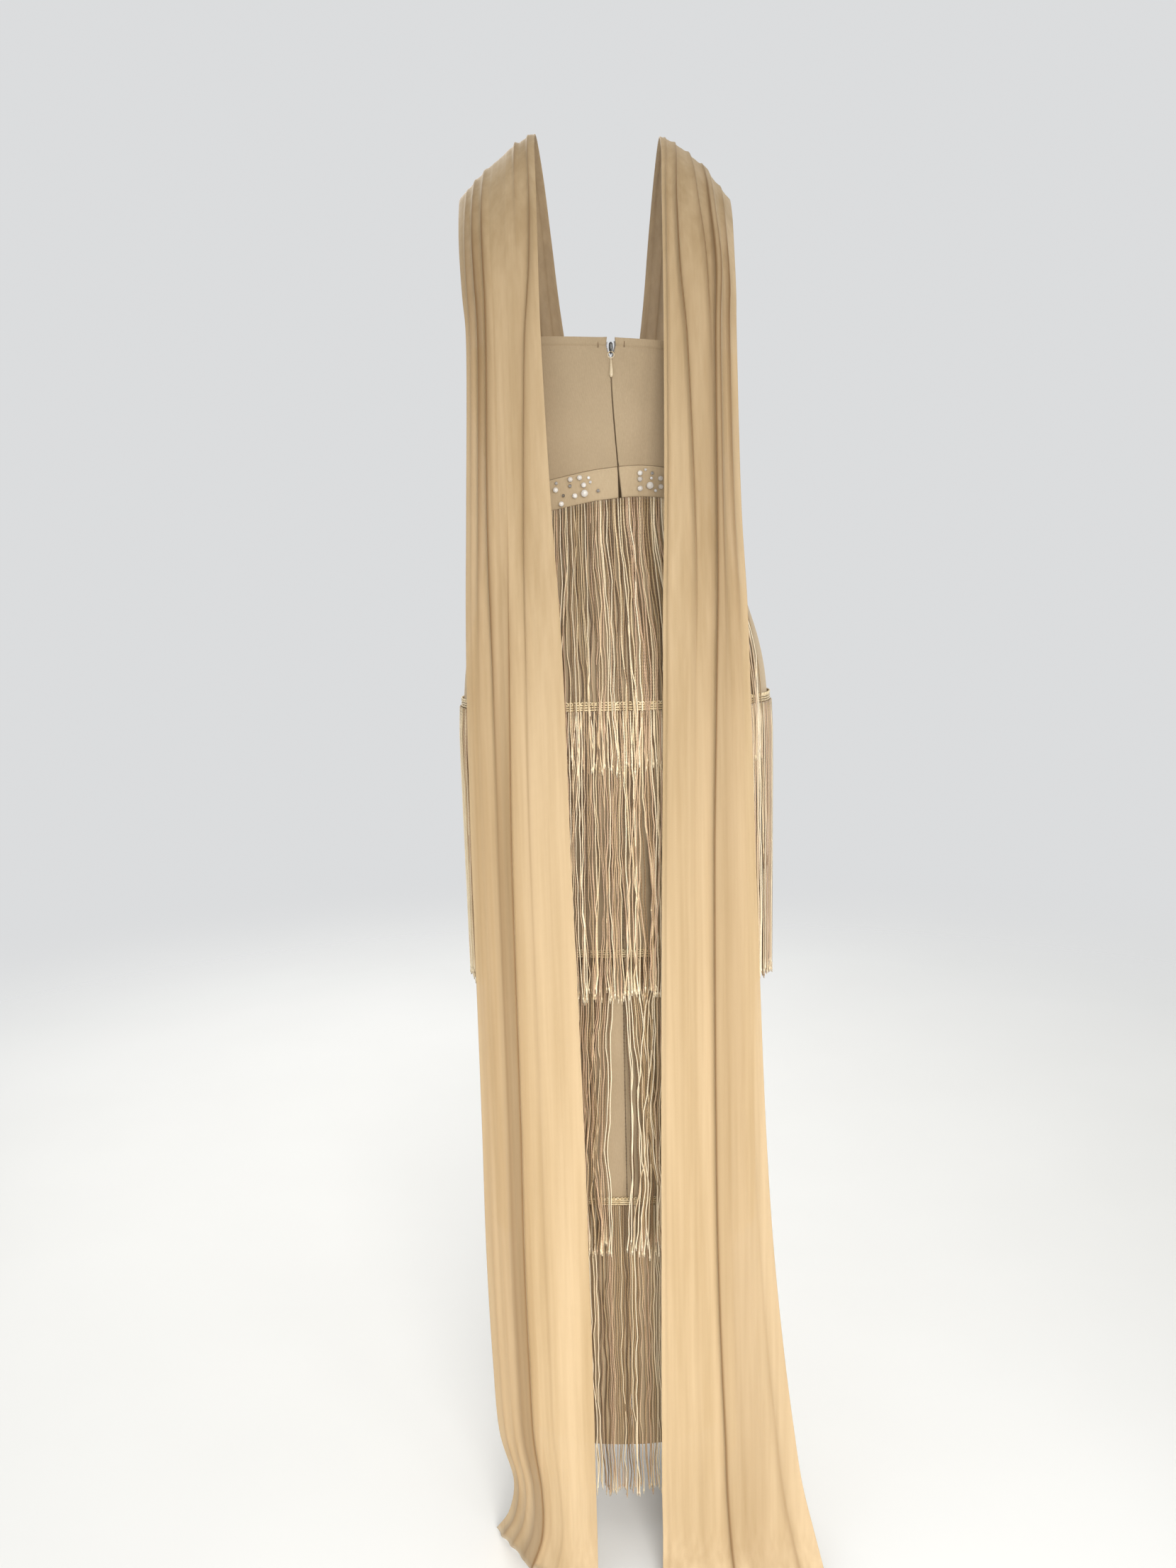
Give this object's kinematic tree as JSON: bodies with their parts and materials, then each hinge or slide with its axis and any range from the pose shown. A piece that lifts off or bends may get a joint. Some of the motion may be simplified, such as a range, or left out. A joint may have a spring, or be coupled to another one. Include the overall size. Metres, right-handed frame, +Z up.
{
  "type": "bandage dress",
  "caption": "Floor-length strapless bandage dress in beige knit with a beaded waistband, tiers of cord fringe and mesh drapes from the waist over the shoulders to the floor.",
  "frame": {"origin": "inside the wearer's waist, at the top of the waistband, on the axis of the body", "axes": "+Z up; the wearer faces -Y, so the zip and the hanging drapes are on +Y; +X is the wearer's left"},
  "size_m": [0.3722, 0.3196, 1.5039],
  "materials": {
    "knit": "beige bandage knit",
    "band": "folded beige knit",
    "cord": "twisted rayon cord, soft sheen",
    "braid": "chained cord heading",
    "mesh": "fine sheer stretch mesh",
    "tape": "woven zip tape",
    "zip_metal": "plain zip metal",
    "zip_paint": "cream paint",
    "pearl": "pearl lustre",
    "crystal": "small cut stones"
  },
  "bodies": {
    "garment": {"bodice_front": "knit", "bodice_back_left": "knit", "bodice_back_right": "knit", "waistband_front": "band", "waistband_back_left": "band", "waistband_back_right": "band", "skirt_front": "knit", "skirt_back_left": "knit", "skirt_back_right": "knit", "fringe_tier_1_back": "cord", "fringe_tier_1_front": "cord", "fringe_heading_2": "braid", "fringe_tier_2": "cord", "fringe_heading_3": "braid", "fringe_tier_3": "cord", "fringe_heading_4": "braid", "fringe_tier_4": "cord", "drape_left": "mesh", "drape_right": "mesh", "zip_tape_left": "tape", "zip_tape_right": "tape", "zip_slider": "zip_metal"},
    "pull": {"zip_pull": "zip_paint"}
  },
  "joints": [
    {"name": "zip_pull_swing", "type": "hinge", "parent": "garment", "child": "pull", "pos_m": [-0.00797, 0.10255, 0.1222], "axis": [1, 0, 0], "range_deg": [0, 165]}
  ]
}
